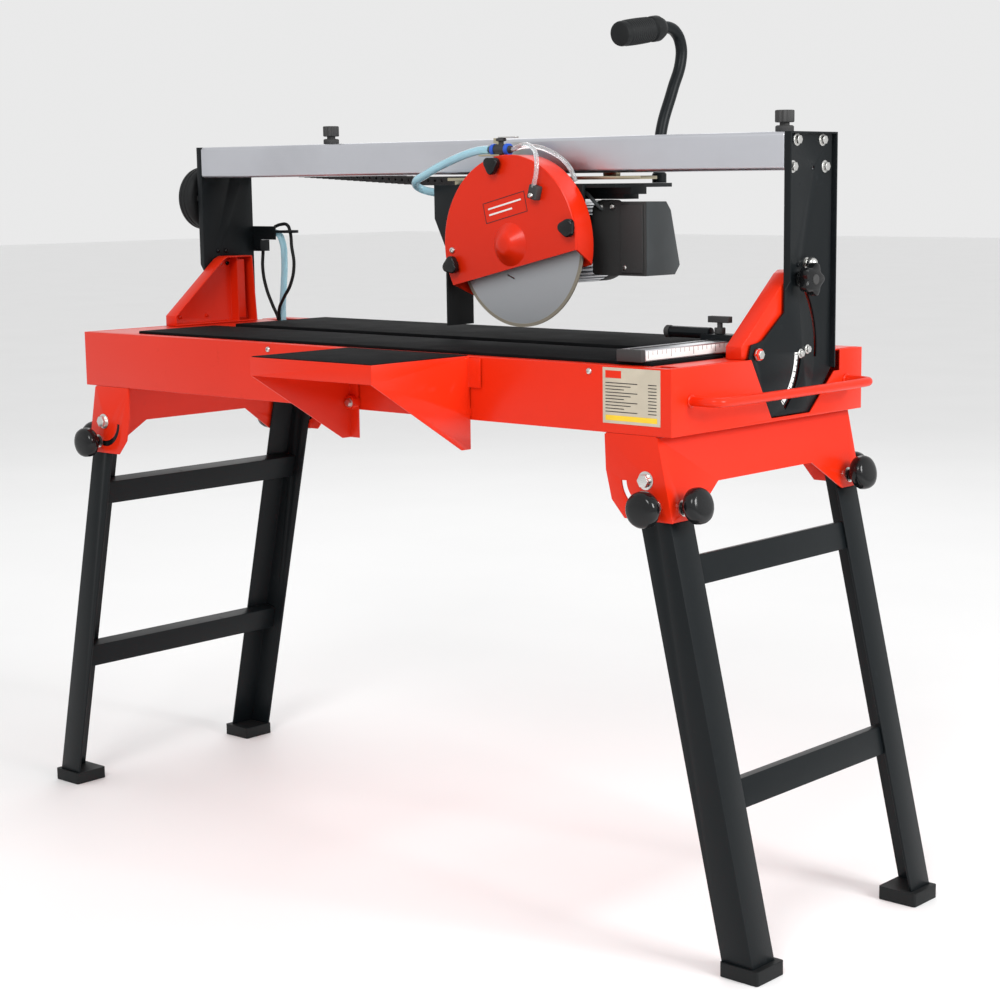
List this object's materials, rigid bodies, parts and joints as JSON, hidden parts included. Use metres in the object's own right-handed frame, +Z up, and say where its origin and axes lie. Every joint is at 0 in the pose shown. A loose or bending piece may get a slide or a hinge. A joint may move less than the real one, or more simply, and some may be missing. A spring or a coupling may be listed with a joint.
{
  "type": "rail tile cutter",
  "caption": "Wet tile saw: a plunging blade head rolls along a tilting aluminium beam over a red water tray on folding ladder legs, with side table, ruler and angle guide.",
  "frame": {"origin": "on the floor, under the middle of the whole machine's box", "axes": "+X along the guide beam to the end with the carry handle, +Y to the rear, away from the operator, +Z up"},
  "size_m": [1.548, 0.6902, 1.3007],
  "materials": {
    "red_paint": "gloss powder coat",
    "black_paint": "satin powder coat",
    "aluminium": "satin extrusion",
    "steel": "brushed",
    "rubber": "matte",
    "black_plastic": "fine grain",
    "hose": "soft translucent tube"
  },
  "bodies": {
    "tray": {"water_tray": "red_paint", "carry_handle": "red_paint", "front_table": "rubber", "rear_table": "rubber", "left_leg_bracket": "red_paint", "right_leg_bracket": "red_paint", "left_gusset": "red_paint", "right_gusset": "red_paint", "side_table": "red_paint", "ruler": "aluminium", "water_pump": "black_plastic", "riser_lines": "hose"},
    "bridge": {"left_upright": "black_paint", "right_upright": "black_paint", "guide_beam": "aluminium", "hose_bracket": "black_paint", "cable_chain": "black_plastic"},
    "carriage": {"carriage": "steel"},
    "head": {"head_arm": "black_paint", "motor_housing": "aluminium", "switch_box": "black_plastic", "blade_guard": "red_paint", "guard_cover": "red_paint", "splash_flap": "rubber", "water_valve": "black_plastic", "handle_tube": "black_paint", "handle_grip": "rubber", "supply_hose": "hose", "guard_tubes": "hose"},
    "blade": {"saw_blade": "steel", "blade_spindle": "steel"},
    "switch": {"power_switch": "black_plastic"},
    "wheel": {"transport_wheel": "rubber"},
    "tilt_knob": {"tilt_lock_knob": "black_plastic"},
    "left_stop": {"left_stop_knob": "black_plastic"},
    "right_stop": {"right_stop_knob": "black_plastic"},
    "left_rollers": {"left_roller": "black_plastic"},
    "right_rollers": {"right_roller": "black_plastic"},
    "guide": {"angle_guide": "black_paint"},
    "guide_knob": {"angle_guide_knob": "black_plastic"},
    "left_legs": {"left_upper_rung": "black_paint", "left_lower_rung": "black_paint", "front_left_leg": "black_paint", "rear_left_leg": "black_paint", "front_left_foot": "rubber", "rear_left_foot": "rubber"},
    "front_left_slot_clamp": {"front_left_slot_knob": "black_plastic"},
    "front_left_end_clamp": {"front_left_end_knob": "black_plastic"},
    "rear_left_slot_clamp": {"rear_left_slot_knob": "black_plastic"},
    "rear_left_end_clamp": {"rear_left_end_knob": "black_plastic"},
    "right_legs": {"right_upper_rung": "black_paint", "right_lower_rung": "black_paint", "front_right_leg": "black_paint", "rear_right_leg": "black_paint", "front_right_foot": "rubber", "rear_right_foot": "rubber"},
    "front_right_slot_clamp": {"front_right_slot_knob": "black_plastic"},
    "front_right_end_clamp": {"front_right_end_knob": "black_plastic"},
    "rear_right_slot_clamp": {"rear_right_slot_knob": "black_plastic"},
    "rear_right_end_clamp": {"rear_right_end_knob": "black_plastic"}
  },
  "joints": [
    {"name": "left_legs_fold", "type": "hinge", "parent": "tray", "child": "left_legs", "pos_m": [-0.587, 0.07785, 0.662], "axis": [0, -1, 0], "range_deg": [0, 94]},
    {"name": "front_left_slot_knob_turn", "type": "hinge", "parent": "left_legs", "child": "front_left_slot_clamp", "pos_m": [-0.60246, -0.16215, 0.62729], "axis": [0, -1, 0], "range_deg": [0, 360]},
    {"name": "front_left_end_knob_turn", "type": "hinge", "parent": "tray", "child": "front_left_end_clamp", "pos_m": [-0.62756, -0.12215, 0.625], "axis": [-0.9763, 0, 0.2164], "range_deg": [0, 360]},
    {"name": "rear_left_slot_knob_turn", "type": "hinge", "parent": "left_legs", "child": "rear_left_slot_clamp", "pos_m": [-0.60246, 0.31785, 0.62729], "axis": [0, 1, 0], "range_deg": [0, 360]},
    {"name": "rear_left_end_knob_turn", "type": "hinge", "parent": "tray", "child": "rear_left_end_clamp", "pos_m": [-0.62756, 0.27785, 0.625], "axis": [-0.9763, 0, 0.2164], "range_deg": [0, 360]},
    {"name": "right_legs_fold", "type": "hinge", "parent": "tray", "child": "right_legs", "pos_m": [0.587, 0.07785, 0.662], "axis": [0, 1, 0], "range_deg": [0, 103]},
    {"name": "front_right_slot_knob_turn", "type": "hinge", "parent": "right_legs", "child": "front_right_slot_clamp", "pos_m": [0.60246, -0.16215, 0.62729], "axis": [0, -1, 0], "range_deg": [0, 360]},
    {"name": "front_right_end_knob_turn", "type": "hinge", "parent": "tray", "child": "front_right_end_clamp", "pos_m": [0.62756, -0.12215, 0.625], "axis": [0.9763, 0, 0.2164], "range_deg": [0, 360]},
    {"name": "rear_right_slot_knob_turn", "type": "hinge", "parent": "right_legs", "child": "rear_right_slot_clamp", "pos_m": [0.60246, 0.31785, 0.62729], "axis": [0, 1, 0], "range_deg": [0, 360]},
    {"name": "rear_right_end_knob_turn", "type": "hinge", "parent": "tray", "child": "rear_right_end_clamp", "pos_m": [0.62756, 0.27785, 0.625], "axis": [0.9763, 0, 0.2164], "range_deg": [0, 360]},
    {"name": "bridge_tilt", "type": "hinge", "parent": "tray", "child": "bridge", "pos_m": [0, 0.04635, 0.818], "axis": [1, 0, 0], "range_deg": [0, 45], "deforming": ["riser_lines"]},
    {"name": "tilt_lock_turn", "type": "hinge", "parent": "tray", "child": "tilt_knob", "pos_m": [0.63, 0.14893, 0.91706], "axis": [1, 0, 0], "range_deg": [0, 360]},
    {"name": "carriage_slide", "type": "slide", "parent": "bridge", "child": "carriage", "axis": [1, 0, 0], "range_m": [-0.59, 0.225]},
    {"name": "left_roller_spin", "type": "hinge", "parent": "carriage", "child": "left_rollers", "pos_m": [0.02, 0.16785, 1.0913], "axis": [0, 1, 0], "continuous": true},
    {"name": "right_roller_spin", "type": "hinge", "parent": "carriage", "child": "right_rollers", "pos_m": [0.27, 0.16785, 1.0913], "axis": [0, 1, 0], "continuous": true},
    {"name": "head_plunge", "type": "hinge", "parent": "carriage", "child": "head", "pos_m": [0, 0.16785, 1.03], "axis": [0, 1, 0], "range_deg": [0, 10]},
    {"name": "blade_spin", "type": "hinge", "parent": "head", "child": "blade", "pos_m": [0.176, 0.07785, 0.963], "axis": [0, 1, 0], "continuous": true},
    {"name": "switch_rock", "type": "hinge", "parent": "head", "child": "switch", "pos_m": [0.318, 0.19409, 0.96919], "axis": [1, 0, 0], "range_deg": [-5, 5]},
    {"name": "wheel_spin", "type": "hinge", "parent": "bridge", "child": "wheel", "pos_m": [-0.662, 0.15535, 1.032], "axis": [1, 0, 0], "continuous": true},
    {"name": "left_stop_turn", "type": "hinge", "parent": "bridge", "child": "left_stop", "pos_m": [-0.314, 0.13785, 1.13], "axis": [0, 0, 1], "range_deg": [0, 360]},
    {"name": "right_stop_turn", "type": "hinge", "parent": "bridge", "child": "right_stop", "pos_m": [0.606, 0.13785, 1.13], "axis": [0, 0, 1], "range_deg": [0, 360]},
    {"name": "guide_slide", "type": "slide", "parent": "tray", "child": "guide", "axis": [0, 1, 0], "range_m": [-0.19, 0.19]},
    {"name": "guide_knob_turn", "type": "hinge", "parent": "guide", "child": "guide_knob", "pos_m": [0.54, 0.07785, 0.855], "axis": [0, 0, 1], "range_deg": [0, 360]}
  ],
  "couplings": [
    {"joint": "left_roller_spin", "follows": "carriage_slide", "rad_per_m": 55.556},
    {"joint": "right_roller_spin", "follows": "carriage_slide", "rad_per_m": 55.556}
  ]
}
